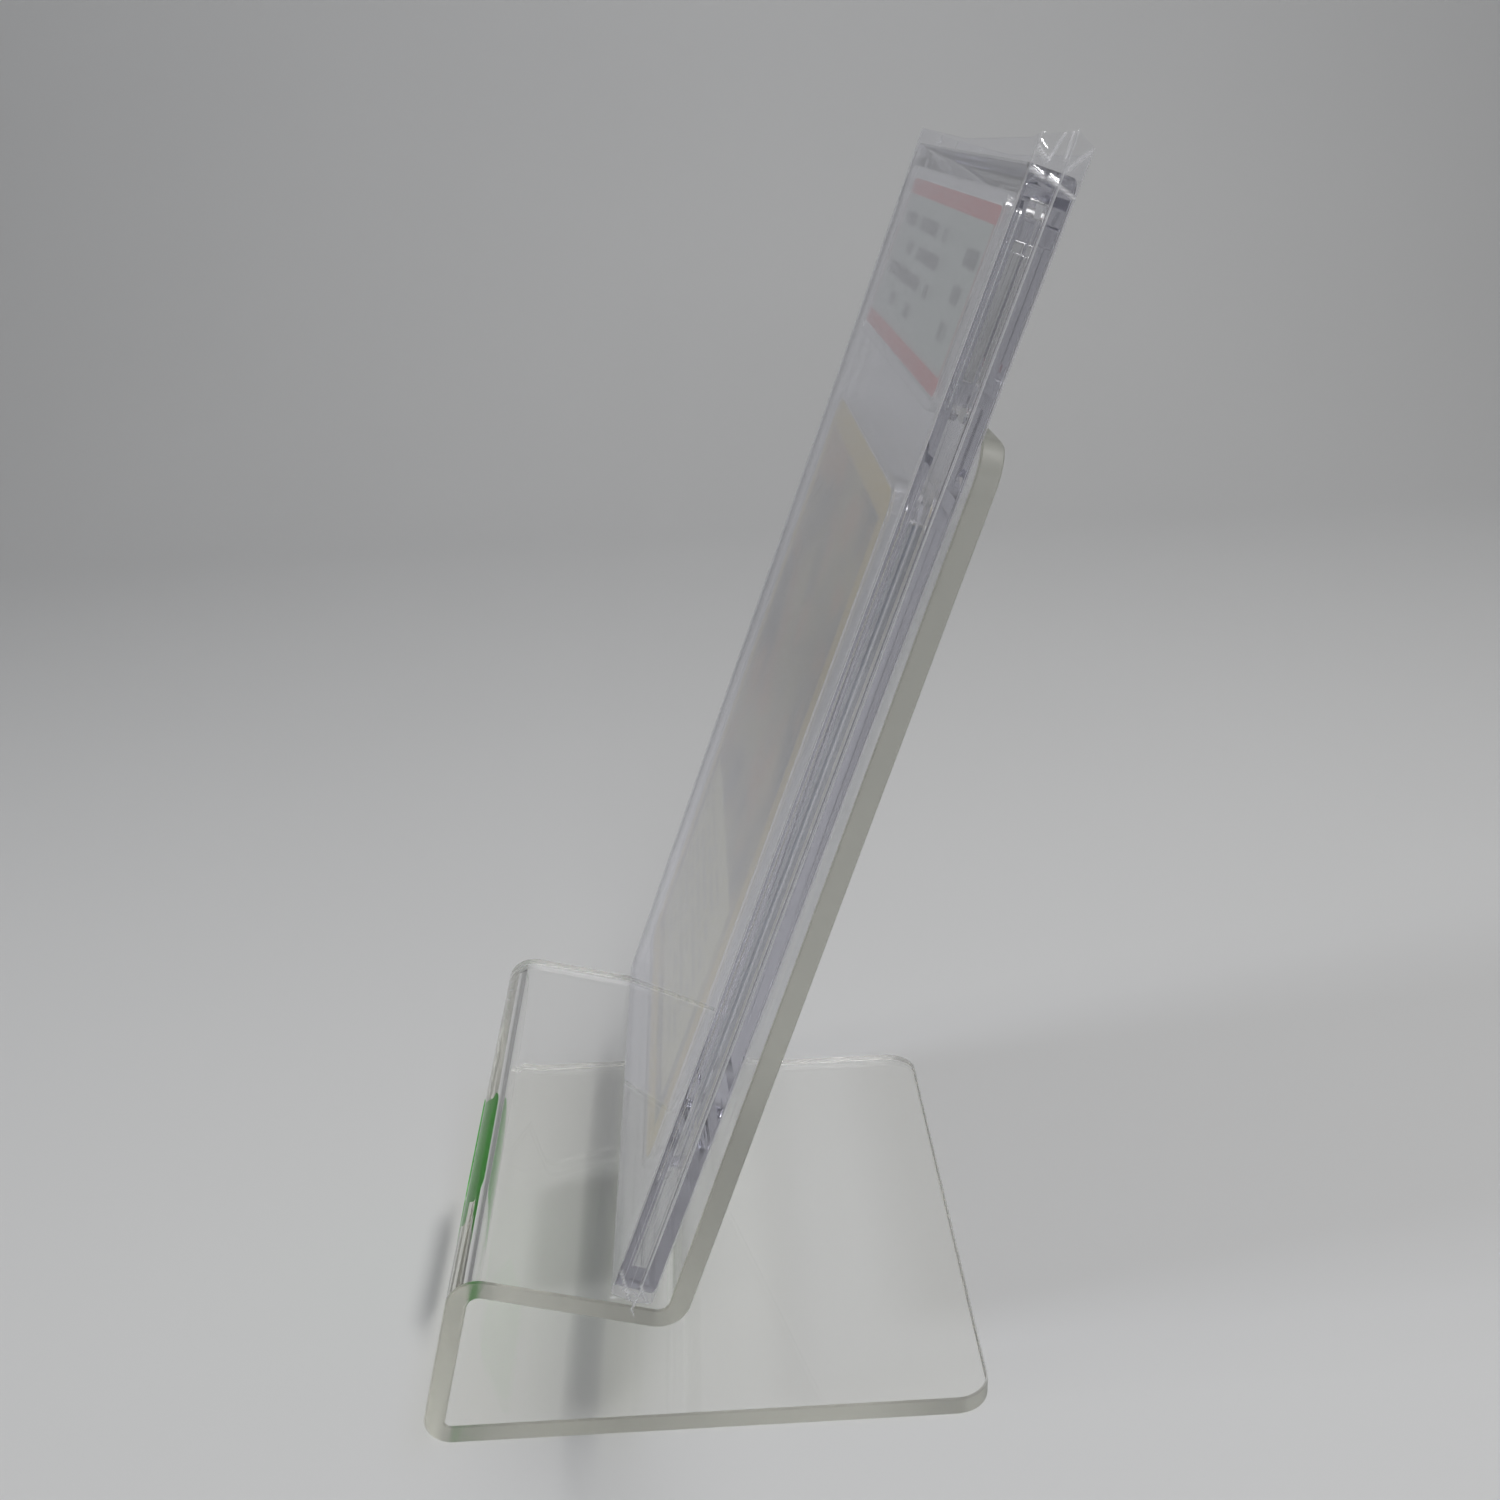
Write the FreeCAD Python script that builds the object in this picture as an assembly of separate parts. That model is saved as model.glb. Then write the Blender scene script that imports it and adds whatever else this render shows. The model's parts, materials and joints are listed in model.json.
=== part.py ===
import FreeCAD, Part
import math
import os

# A card display stand: one sheet of clear acrylic, heat-bent into a base, a riser, a shelf and a
# backrest, with a welded clear card case on it. The case is in an open-topped film bag.
# Millimetres. +X is the display's right side, -Y its front, +Z up.
# The origin is the centre of the base's underside.

V = FreeCAD.Vector

# Stand sheet. Lengths run between the virtual corners of the face that starts as the underside.
SHEET_WIDTH = 81.3
SHEET_T = 2.6
BASE_DEPTH = 72.2
RISER_LENGTH = 26.24
RISER_LEAN = 14.2  # degrees back from upright
SHELF_LENGTH = 26.5
SHELF_FALL = 15.3  # degrees down towards the back
BACKREST_LENGTH = 110.8
BACKREST_RISE = 70.1  # degrees up from level
FOOT_BEND_R = 3.3  # outside of the bend between base and riser
BROW_BEND_R = 4.2  # outside of the bend between riser and shelf
SEAT_BEND_R = 1.6  # inside of the bend between shelf and backrest
SHEET_CORNER_R = 4.5  # the base's two back corners and the backrest's two top corners

# Adhesive label on the riser's front face
STICKER_WIDTH = 24.0
STICKER_HEIGHT = 12.0
STICKER_T = 0.12
STICKER_CORNER_R = 3.0
STICKER_X = 6.0
STICKER_UP = 16.0  # its centre, along the riser from the base's virtual corner

# Card case: two shells welded face to face
CASE_WIDTH = 81.6
CASE_LENGTH = 136.5
CASE_T = 5.1
CASE_LEAN = 69.33  # degrees up from level
CASE_X = -1.05
CASE_CORNER_R = 2.2
CASE_EDGE_R = 0.35
WELD_DEPTH = 3.05  # from the front face to the plane where the shells meet
CASE_WALL = 3.0  # rim between the outer side and the hollow
FRONT_PLATE_T = 1.5
BACK_PLATE_T = 1.3
GRIP_FRONT = 1.5  # the shallow channel along each long side, measured from the front face
GRIP_DEPTH = 0.3
GRIP_BOTTOM = 2.2
GRIP_TOP = 128.3

# What the case holds
CARD_WIDTH = 63.5
CARD_HEIGHT = 88.9
CARD_T = 0.4
CARD_CORNER_R = 3.0
CARD_BOTTOM = 12.3
TITLE_WIDTH = 67.0
TITLE_HEIGHT = 20.0
TITLE_T = 0.25
TITLE_BOTTOM = 112.0
INSERT_GAP = 0.05  # air in front of and behind the card and the title label
RAIL_CLEAR = 0.3  # between an insert's edge and the rail round it
RAIL_WIDTH = 1.1
LEDGE_INSET = 0.2  # the back shell's ledge lies inside the front shell's rail
LEDGE_WIDTH = 2.4

# Film bag
FILM_T = 0.2
FILM_GAP = 0.12  # air between the case and the film
BAG_TOP = 141.2
BAG_SIDE = 0.75  # how far each side of the pocket stands out beyond the case
SEAM_WIDTH = 0.6
SEAM_PLANE = 3.05  # depth of the side seams from the case's front face
EAR_WIDTH = 0.3  # the bag's bottom corners hang down past the shelf's ends
EAR_TOP = 3.2
EAR_BOTTOM = -1.8
EAR_T = 0.6

# Where the bagged case rests
SEAT_GAP = 0.5  # from the case's back bottom edge square to the shelf
LEAN_GAP = 0.47  # from the case's back face to the backrest's top edge


def direction(degrees):
    """The unit step (y, z) that rises by this angle, going towards +Y."""
    return math.cos(math.radians(degrees)), math.sin(math.radians(degrees))


def step(point, way, length):
    return point[0] + way[0] * length, point[1] + way[1] * length


def right_of(way):
    """The unit step (y, z) square to way, on its right-hand side."""
    return way[1], -way[0]


def crossing(point_a, way_a, point_b, way_b):
    """Where two lines meet in the YZ plane."""
    dy = point_b[0] - point_a[0]
    dz = point_b[1] - point_a[1]
    turn = way_a[0] * way_b[1] - way_a[1] * way_b[0]
    along = (dy * way_b[1] - dz * way_b[0]) / turn
    return step(point_a, way_a, along)


WAYS = [(-1.0, 0.0), direction(90 - RISER_LEAN), direction(-SHELF_FALL), direction(BACKREST_RISE)]


def sheet_corners():
    """The outline's corners on the face that starts as the underside, as (y, z)."""
    corners = [(BASE_DEPTH / 2, 0.0)]
    for way, length in zip(WAYS, (BASE_DEPTH, RISER_LENGTH, SHELF_LENGTH, BACKREST_LENGTH)):
        corners.append(step(corners[-1], way, length))
    return corners


def other_face(corners):
    """The same corners on the sheet's other face."""
    moved = [step(corners[0], right_of(WAYS[0]), SHEET_T)]
    for i in range(1, len(WAYS)):
        before = step(corners[i], right_of(WAYS[i - 1]), SHEET_T)
        after = step(corners[i], right_of(WAYS[i]), SHEET_T)
        moved.append(crossing(before, WAYS[i - 1], after, WAYS[i]))
    moved.append(step(corners[-1], right_of(WAYS[-1]), SHEET_T))
    return moved


def rounded_edges(corners, radii, x):
    """Straight runs through the corners, joined by tangent arcs of the given radii."""
    points = [V(x, y, z) for y, z in corners]
    edges = []
    start = points[0]
    for i, radius in enumerate(radii, 1):
        back = (points[i - 1] - points[i]).normalize()
        ahead = (points[i + 1] - points[i]).normalize()
        half_opening = back.getAngle(ahead) / 2
        tangent = radius / math.tan(half_opening)
        middle = (back + ahead).normalize() * (radius / math.sin(half_opening) - radius)
        arc_start = points[i] + back * tangent
        arc_end = points[i] + ahead * tangent
        edges.append(Part.LineSegment(start, arc_start).toShape())
        edges.append(Part.Arc(arc_start, points[i] + middle, arc_end).toShape())
        start = arc_end
    edges.append(Part.LineSegment(start, points[-1]).toShape())
    return edges


def box(low, high):
    return Part.makeBox(high[0] - low[0], high[1] - low[1], high[2] - low[2], V(*low))


def plate(width, depth, low, high, corner_r):
    """A block centred on X = 0, from Y = depth[0] to depth[1], with its four Y edges rounded."""
    block = box((-width / 2, depth[0], low), (width / 2, depth[1], high))
    upright = [e for e in block.Edges if abs(e.tangentAt(e.FirstParameter).y) > 0.99]
    return block.makeFillet(corner_r, upright)


def frame_plate(outer, inner, depth):
    """A flat ring: outer and inner are (width, low, high, corner_r)."""
    return plate(outer[0], depth, *outer[1:]).cut(plate(inner[0], depth, *inner[1:]))


def grown(outline, by):
    """An outline (width, low, high, corner_r) moved out by this much, or in if negative."""
    width, low, high, corner_r = outline
    return width + 2 * by, low - by, high + by, max(corner_r + by, 0.3)


CASE_OUTLINE = (CASE_WIDTH, 0.0, CASE_LENGTH, CASE_CORNER_R)
CARD_OUTLINE = (CARD_WIDTH, CARD_BOTTOM, CARD_BOTTOM + CARD_HEIGHT, CARD_CORNER_R)
TITLE_OUTLINE = (TITLE_WIDTH, TITLE_BOTTOM, TITLE_BOTTOM + TITLE_HEIGHT, 0.8)


def make_stand_sheet():
    corners = sheet_corners()
    others = other_face(corners)
    x = -SHEET_WIDTH / 2
    face_edges = rounded_edges(corners, (FOOT_BEND_R, BROW_BEND_R, SEAT_BEND_R), x)
    other_radii = (FOOT_BEND_R - SHEET_T, BROW_BEND_R - SHEET_T, SEAT_BEND_R + SHEET_T)
    other_edges = rounded_edges(others, other_radii, x)
    ends = []
    for i in (0, -1):
        ends.append(Part.LineSegment(V(x, *corners[i]), V(x, *others[i])).toShape())
    loop = Part.Wire(Part.__sortEdges__(face_edges + other_edges + ends))
    sheet = Part.Face(loop).extrude(V(SHEET_WIDTH, 0, 0))
    base_end = V(0, *corners[0])
    top_end = V(0, *corners[-1])
    rounded = []
    for edge in sheet.Edges:
        middle = edge.CenterOfMass
        at_side = abs(abs(middle.x) - SHEET_WIDTH / 2) < 0.01
        at_end = min((V(0, middle.y, middle.z) - end).Length for end in (base_end, top_end)) < SHEET_T
        if at_side and at_end and abs(edge.Length - SHEET_T) < 0.01:
            rounded.append(edge)
    return sheet.makeFillet(SHEET_CORNER_R, rounded)


def make_front_label():
    low = STICKER_UP - STICKER_HEIGHT / 2
    high = STICKER_UP + STICKER_HEIGHT / 2
    label = plate(STICKER_WIDTH, (-STICKER_T, 0.0), low, high, STICKER_CORNER_R)
    lean = FreeCAD.Rotation(V(1, 0, 0), -RISER_LEAN)
    label.Placement = FreeCAD.Placement(V(STICKER_X, -BASE_DEPTH / 2, 0), lean)
    return label


def grip_channels():
    """The two shallow channels along the case's long sides, as solids to cut away."""
    channels = []
    for side in (-1, 1):
        inner = side * (CASE_WIDTH / 2 - GRIP_DEPTH)
        outer = side * (CASE_WIDTH / 2 + 1)
        low = (min(inner, outer), GRIP_FRONT, GRIP_BOTTOM)
        high = (max(inner, outer), WELD_DEPTH, GRIP_TOP)
        channels.append(box(low, high))
    return channels


def outer_rim_edges(shell, depth):
    """The edges of the shell's outer outline that lie at this depth."""
    edges = []
    for edge in shell.Edges:
        bounds = edge.BoundBox
        flat = abs(bounds.YMin - depth) < 0.01 and abs(bounds.YMax - depth) < 0.01
        at_side = max(abs(bounds.XMin), abs(bounds.XMax)) > CASE_WIDTH / 2 - CASE_CORNER_R - 0.01
        at_end = bounds.ZMin < 0.01 or bounds.ZMax > CASE_LENGTH - 0.01
        if flat and (at_side or at_end):
            edges.append(edge)
    return edges


def make_case_front():
    shell = plate(CASE_WIDTH, (0.0, WELD_DEPTH), *CASE_OUTLINE[1:])
    shell = shell.makeFillet(CASE_EDGE_R, outer_rim_edges(shell, 0.0))
    hollow = grown(CASE_OUTLINE, -CASE_WALL)
    shell = shell.cut(plate(hollow[0], (FRONT_PLATE_T, WELD_DEPTH), *hollow[1:]))
    for insert in (CARD_OUTLINE, TITLE_OUTLINE):
        inside = grown(insert, RAIL_CLEAR)
        outside = grown(inside, RAIL_WIDTH)
        shell = shell.fuse(frame_plate(outside, inside, (FRONT_PLATE_T, WELD_DEPTH)))
    for channel in grip_channels():
        shell = shell.cut(channel)
    return shell.removeSplitter()


def make_case_back():
    shell = plate(CASE_WIDTH, (WELD_DEPTH, CASE_T), *CASE_OUTLINE[1:])
    shell = shell.makeFillet(CASE_EDGE_R, outer_rim_edges(shell, CASE_T))
    hollow = grown(CASE_OUTLINE, -CASE_WALL)
    plate_front = CASE_T - BACK_PLATE_T
    shell = shell.cut(plate(hollow[0], (WELD_DEPTH, plate_front), *hollow[1:]))
    for insert, thickness in ((CARD_OUTLINE, CARD_T), (TITLE_OUTLINE, TITLE_T)):
        ledge_front = FRONT_PLATE_T + 2 * INSERT_GAP + thickness
        outside = grown(insert, -LEDGE_INSET)
        inside = grown(outside, -LEDGE_WIDTH)
        shell = shell.fuse(frame_plate(outside, inside, (ledge_front, plate_front)))
    return shell.removeSplitter()


def make_card():
    front = FRONT_PLATE_T + INSERT_GAP
    return plate(CARD_WIDTH, (front, front + CARD_T), *CARD_OUTLINE[1:])


def make_title_label():
    front = FRONT_PLATE_T + INSERT_GAP
    return plate(TITLE_WIDTH, (front, front + TITLE_T), *TITLE_OUTLINE[1:])


def pocket_outline(by):
    """The bag's cross-section grown by this much: flat front and back, sides drawn to a seam."""
    half = CASE_WIDTH / 2 + FILM_GAP + by
    tip = CASE_WIDTH / 2 + BAG_SIDE + by
    front = -FILM_GAP - by
    back = CASE_T + FILM_GAP + by
    right = [(half, front), (tip, SEAM_PLANE), (half, back)]
    left = [(-x, depth) for x, depth in reversed(right)]
    return right + left


def prism(outline, low, high):
    points = [V(x, y, low) for x, y in outline]
    return Part.Face(Part.makePolygon(points + points[:1])).extrude(V(0, 0, high - low))


def side_strip(side, inner, outer, thickness, low, high):
    """A flat strip in the seam plane, on the bag's left (side -1) or right (side 1)."""
    ends = sorted((side * inner, side * outer))
    front = SEAM_PLANE - thickness / 2
    return box((ends[0], front, low), (ends[1], front + thickness, high))


def make_sleeve():
    floor = -FILM_GAP
    bag = prism(pocket_outline(FILM_T), floor - FILM_T, BAG_TOP)
    seam_inner = CASE_WIDTH / 2 + BAG_SIDE
    seam_outer = seam_inner + FILM_T + SEAM_WIDTH
    for side in (-1, 1):
        bag = bag.fuse(side_strip(side, seam_inner, seam_outer, FILM_T, floor - FILM_T, BAG_TOP))
        bag = bag.fuse(side_strip(side, seam_outer - EAR_WIDTH, seam_outer, EAR_T, EAR_BOTTOM, EAR_TOP))
    return bag.cut(prism(pocket_outline(0.0), floor, BAG_TOP + 1)).removeSplitter()


def case_placement():
    """Puts the case's own frame (front face on Y = 0, bottom on Z = 0) where it rests."""
    corners = sheet_corners()
    lean = direction(CASE_LEAN)
    leans_on = step(corners[4], right_of(lean), -LEAN_GAP)
    stands_on = step(corners[3], right_of(WAYS[2]), -SEAT_GAP)
    back_edge = crossing(leans_on, lean, stands_on, WAYS[2])
    front_edge = step(back_edge, right_of(lean), -CASE_T)
    return FreeCAD.Placement(V(CASE_X, *front_edge), FreeCAD.Rotation(V(1, 0, 0), CASE_LEAN - 90))


def placed(shape, placement):
    shape.Placement = placement.multiply(shape.Placement)
    return shape


def main():
    at_rest = case_placement()
    parts = {
        "stand_sheet": make_stand_sheet(),
        "front_label": make_front_label(),
        "case_front": placed(make_case_front(), at_rest),
        "case_back": placed(make_case_back(), at_rest),
        "card": placed(make_card(), at_rest),
        "title_label": placed(make_title_label(), at_rest),
        "sleeve": placed(make_sleeve(), at_rest),
    }
    os.makedirs("parts", exist_ok=True)
    for name, shape in parts.items():
        shape.exportStep(f"parts/{name}.step")
        bounds = shape.BoundBox
        print(
            f"{name}: solids {len(shape.Solids)}, valid {shape.isValid()}, volume {shape.Volume:.1f} mm3,",
            f"y {bounds.YMin:.2f} to {bounds.YMax:.2f}, z {bounds.ZMin:.2f} to {bounds.ZMax:.2f}",
        )


main()
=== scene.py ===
import json
import math
from collections import namedtuple

import bmesh
import bpy
from mathutils import Matrix, Vector, noise


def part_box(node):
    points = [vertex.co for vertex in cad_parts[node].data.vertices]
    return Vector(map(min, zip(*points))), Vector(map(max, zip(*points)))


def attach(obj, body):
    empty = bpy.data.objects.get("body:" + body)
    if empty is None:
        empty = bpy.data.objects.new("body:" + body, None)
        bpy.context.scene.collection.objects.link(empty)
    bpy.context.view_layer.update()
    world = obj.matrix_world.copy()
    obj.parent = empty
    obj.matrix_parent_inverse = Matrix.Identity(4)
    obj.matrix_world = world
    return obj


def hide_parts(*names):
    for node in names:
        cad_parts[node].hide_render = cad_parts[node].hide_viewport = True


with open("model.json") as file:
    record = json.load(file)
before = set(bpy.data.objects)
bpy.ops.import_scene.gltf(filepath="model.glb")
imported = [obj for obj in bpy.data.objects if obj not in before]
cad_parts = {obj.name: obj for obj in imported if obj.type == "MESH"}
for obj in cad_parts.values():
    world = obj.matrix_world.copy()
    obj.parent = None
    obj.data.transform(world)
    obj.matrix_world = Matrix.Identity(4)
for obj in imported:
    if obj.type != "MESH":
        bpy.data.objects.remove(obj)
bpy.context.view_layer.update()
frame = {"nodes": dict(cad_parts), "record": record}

# The looks of a card display stand: a bent clear acrylic sheet, a green label on its riser, and a
# welded clear card case in an open-topped film bag. Lengths are in millimetres until a mesh is made.

MM = 0.001

# Stand sheet, along the face that starts as the underside
SHEET_WIDTH = 81.3
SHEET_T = 2.6
RUNS = (72.2, 26.24, 26.5, 110.8)
HEADINGS = (180.0, 75.8, -15.3, 70.1)  # degrees up from level, going towards +Y
BEND_RADII = (3.3, 4.2, 1.6)
SHEET_CORNER_R = 4.5
SHEET_CHAMFER = 0.22
BEND_STEP = math.radians(4)  # turn between two rows of the mesh in a bend
ROW_SPACING = 2.4
RUN_END = 0.3  # the first and last row of a straight run stand this close to its ends
HOLLOW_DEPTH = 0.035
HOLLOW_SIZE = 17.0
HOLLOW_ONSET = 12.0  # distance past the base over which the hollows grow to full depth

# Label on the riser's front face
LABEL_WIDTH = 24.0
LABEL_HEIGHT = 12.0
LABEL_CORNER_R = 3.0
LABEL_UP = 16.0
LABEL_DEPTHS = (-0.12, 0.03)  # the back lies just inside the acrylic, as glue wets it
LABEL_EDGE_ROUND = 0.03

# Card case, in its own frame: u across, w from the front face back, v up the case
CASE_WIDTH = 81.6
CASE_LENGTH = 136.5
CASE_T = 5.1
CASE_BEVEL = 0.09
DULL_FACE_WIDTH = 0.15  # bevel faces narrower than this are dull
CASE_END_DEPTH = 2.5  # faces across the case further in than this are the ends of pockets and rails
SIDE_BAND = 0.35  # how deep the grip channels and edges at the sides reach in
CORNER_REACH = 2.3  # how far the rounded corners reach in from each end and side
WELD_W = 3.05
WELD_GAP = 0.015
CARD = dict(width=63.5, low=12.3, high=101.2, front=1.55, back=1.95, corner=3.0)
TITLE = dict(width=67.0, low=112.0, high=132.0, front=1.55, back=1.8, corner=0.8)

# Film bag
FILM_T = 0.05
FILM_GAP = 0.12
SEAM_U = 41.55
FIN_WIDTH = 0.75
BAG_LOW = -0.3
MOUTH_V = 139.3
SLACK_FROM = 135.6  # above this the film hangs loose, fully so after SLACK_RISE
SLACK_RISE = 3.0


# ---------------------------------------------------------------- meshes


def mesh_object(name, points, faces, materials, slots=None, smooth=30.0, outward=True):
    """A mesh from points in millimetres of the row frame."""
    mesh = bpy.data.meshes.new(name)
    mesh.from_pydata([Vector(p) * MM for p in points], [], faces)
    for material in materials:
        mesh.materials.append(material)
    if slots:
        mesh.polygons.foreach_set("material_index", slots)
    if outward:
        work = bmesh.new()
        work.from_mesh(mesh)
        bmesh.ops.recalc_face_normals(work, faces=work.faces)
        work.to_mesh(mesh)
        work.free()
    mesh.shade_smooth()
    mesh.set_sharp_from_angle(angle=math.radians(smooth))
    obj = bpy.data.objects.new(name, mesh)
    bpy.context.scene.collection.objects.link(obj)
    return obj


def add_piece(obj, body, slot, *nodes):
    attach(obj, body)
    if nodes:
        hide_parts(*nodes)
    return obj


def spread(low, high, spacing):
    """Even steps from low to high, no further apart than spacing, both ends included."""
    count = max(1, math.ceil((high - low) / spacing - 1e-9))
    return [low + (high - low) * i / count for i in range(count + 1)]


def bridge(ring_a, ring_b):
    """Quads between two closed rings of point numbers."""
    count = len(ring_a)
    return [
        (ring_a[i], ring_a[(i + 1) % count], ring_b[(i + 1) % count], ring_b[i])
        for i in range(count)
    ]


def ripple(a, b, seed, size=1.0):
    """Smooth noise from about -1 to 1 over the plane."""
    return noise.noise(Vector((a / size, b / size, seed)))


# ---------------------------------------------------------------- places


def case_matrix():
    """From the case's own frame (u, w, v) to the row frame, in millimetres."""
    joints = {joint["name"]: joint for joint in frame["record"]["behaviour"]["joints"]}
    up = Vector(joints["case_pull"]["axis"]).normalized()
    across = Vector((1, 0, 0))
    depth = up.cross(across)
    low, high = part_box("card")
    mid_x = (low.x + high.x) / 2 / MM
    front_bottom = Vector((mid_x, low.y / MM, 0)) - up * CARD["low"] - depth * CARD["front"]
    back_bottom = Vector((mid_x, 0, low.z / MM)) - up * CARD["low"] - depth * CARD["back"]
    origin = Vector((mid_x, front_bottom.y, back_bottom.z))
    return Matrix.Translation(origin) @ Matrix((across, depth, up)).transposed().to_4x4()


# A straight or evenly bent stretch of the sheet's first face. rate is its turn per millimetre.
Run = namedtuple("Run", "start length point heading rate")


def sheet_runs():
    """The sheet's first face as straight and bent runs, in order."""
    point = Vector((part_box("stand_sheet")[1].y / MM, 0.0))
    turns = [math.radians(b - a) for a, b in zip(HEADINGS, HEADINGS[1:])]
    cuts = [radius * math.tan(abs(turn) / 2) for radius, turn in zip(BEND_RADII, turns)]
    cuts = [0.0] + cuts + [0.0]
    heading = math.radians(HEADINGS[0])
    runs = []
    start = 0.0
    for i, length in enumerate(RUNS):
        parts = [(length - cuts[i] - cuts[i + 1], 0.0)]
        if i < len(turns):
            parts.append((abs(turns[i]) * BEND_RADII[i], math.copysign(1 / BEND_RADII[i], turns[i])))
        for size, rate in parts:
            runs.append(Run(start, size, point, heading, rate))
            point, heading = along_run(runs[-1], start + size)
            start += size
    return runs


def along_run(run, distance):
    """The point (y, z) and heading at this distance along the sheet."""
    gone = distance - run.start
    heading = run.heading
    if run.rate == 0.0:
        return run.point + Vector((math.cos(heading), math.sin(heading))) * gone, heading
    ahead = heading + gone * run.rate
    shift = Vector((math.sin(ahead) - math.sin(heading), math.cos(heading) - math.cos(ahead)))
    return run.point + shift / run.rate, ahead


class Sheet:
    """Places on the bent sheet: distance along it, x across it, depth from its first face."""

    def __init__(self):
        self.runs = sheet_runs()
        self.length = self.runs[-1].start + self.runs[-1].length

    def place(self, distance, x, depth):
        reached = (run for run in self.runs if distance <= run.start + run.length + 1e-6)
        run = next(reached, self.runs[-1])
        point, heading = along_run(run, distance)
        into = Vector((math.sin(heading), -math.cos(heading)))
        return Vector((x, *(point + into * depth)))

    def stations(self):
        """Distances for the rows of the mesh, close together in the bends."""
        rows = [SHEET_CORNER_R]
        for run in self.runs:
            low = max(run.start, SHEET_CORNER_R)
            high = min(run.start + run.length, self.length - SHEET_CORNER_R)
            if run.rate:
                steps = spread(low, high, BEND_STEP / abs(run.rate))
            else:
                steps = [low, low + RUN_END] + spread(low + RUN_END, high - RUN_END, ROW_SPACING) + [high]
            rows += [s for s in steps if s > rows[-1] + 0.01]
        return rows


# ---------------------------------------------------------------- materials


def new_material(name):
    material = bpy.data.materials.new(name)
    material.use_nodes = True
    material.node_tree.nodes.clear()
    return material


def node(tree, kind, inputs=None, **settings):
    """A shader node. Each input is a number, a colour or the socket that feeds it."""
    made = tree.nodes.new("ShaderNode" + kind)
    for key, value in settings.items():
        setattr(made, key, value)
    for key, value in (inputs or {}).items():
        if isinstance(value, bpy.types.NodeSocket):
            tree.links.new(value, made.inputs[key])
        else:
            made.inputs[key].default_value = value
    return made


def maths(tree, operation, *values):
    return node(tree, "Math", dict(enumerate(values)), operation=operation).outputs[0]


def place_of(tree, scale=(1, 1, 1), turn=(0, 0, 0), source="Object"):
    where = node(tree, "TexCoord").outputs[source]
    return node(tree, "Mapping", {"Vector": where, "Scale": scale, "Rotation": turn}).outputs[0]


def noise_of(tree, where, scale, detail=3.0, rough=0.55):
    inputs = {"Vector": where, "Scale": scale, "Detail": detail, "Roughness": rough}
    return node(tree, "TexNoise", inputs).outputs["Fac"]


def between(tree, value, from_low, from_high, to_low=0.0, to_high=1.0):
    """value clamped to a range and mapped onto another."""
    inputs = {
        "Value": value,
        "From Min": from_low,
        "From Max": from_high,
        "To Min": to_low,
        "To Max": to_high,
    }
    return node(tree, "MapRange", inputs).outputs["Result"]


def mixed(tree, factor, first, second):
    """A colour mix. Each colour is a tuple or a socket."""
    made = node(tree, "Mix", {"Factor": factor}, data_type="RGBA")
    for socket, value in ((made.inputs[6], first), (made.inputs[7], second)):
        if isinstance(value, bpy.types.NodeSocket):
            tree.links.new(value, socket)
        else:
            socket.default_value = (*value, 1)
    return made.outputs[2]


def bump_of(tree, height, strength, distance):
    inputs = {"Height": height, "Strength": strength, "Distance": distance}
    return node(tree, "Bump", inputs).outputs["Normal"]


def for_lamps(tree, shader, tint, glancing):
    """Light on its way to a dull surface passes straight through the clear piece, tinted, and
    loses a share, up to glancing, where it meets a face at a shallow angle."""
    path = node(tree, "LightPath")
    straight = maths(tree, "MAXIMUM", path.outputs["Is Shadow Ray"], path.outputs["Is Diffuse Ray"])
    facing = node(tree, "LayerWeight", {"Blend": 0.5}).outputs["Facing"]
    lost = maths(tree, "MULTIPLY", maths(tree, "POWER", facing, 5.0), glancing)
    passed = mixed(tree, lost, tint, (0, 0, 0))
    clear = node(tree, "BsdfTransparent", {"Color": passed}).outputs[0]
    return node(tree, "MixShader", {0: straight, 1: shader, 2: clear}).outputs[0]


def clear_plastic(name, *, absorb, density, ior, edge_roughness, smudge, tint, relief, glancing):
    """Clear plastic with faint smudges and hairline scratches. Cut edges are duller, with a
    relief of this strength. absorb and density are the colour it takes on with depth."""
    material = new_material(name)
    tree = material.node_tree
    where = place_of(tree)
    patches = between(tree, noise_of(tree, where, 60), 0.52, 0.75)
    hairs = noise_of(tree, place_of(tree, (900, 40, 40), (0.3, 0.5, 0.9)), 1.0, 2.0)
    hairs = between(tree, hairs, 0.62, 0.72)
    face = maths(tree, "MULTIPLY", maths(tree, "MAXIMUM", patches, hairs), smudge)
    cut = node(tree, "Attribute", attribute_name="cut_edge").outputs["Fac"]
    grain = noise_of(tree, place_of(tree, (150, 700, 700)), 1.0, 4.0)
    edge = maths(tree, "MULTIPLY", maths(tree, "ADD", grain, 0.4), edge_roughness)
    roughness = maths(tree, "MAXIMUM", face, maths(tree, "MULTIPLY", cut, edge))
    cut_grain = maths(tree, "MULTIPLY", cut, grain)
    glass = node(
        tree,
        "BsdfPrincipled",
        {
            "Base Color": (1, 1, 1, 1),
            "Transmission Weight": 1.0,
            "IOR": ior,
            "Roughness": roughness,
            "Normal": bump_of(tree, cut_grain, relief, 0.0001),
        },
    )
    surface = for_lamps(tree, glass.outputs[0], tint, glancing)
    volume = node(tree, "VolumeAbsorption", {"Color": (*absorb, 1), "Density": density})
    node(tree, "OutputMaterial", {"Surface": surface, "Volume": volume.outputs[0]})
    return material


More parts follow.
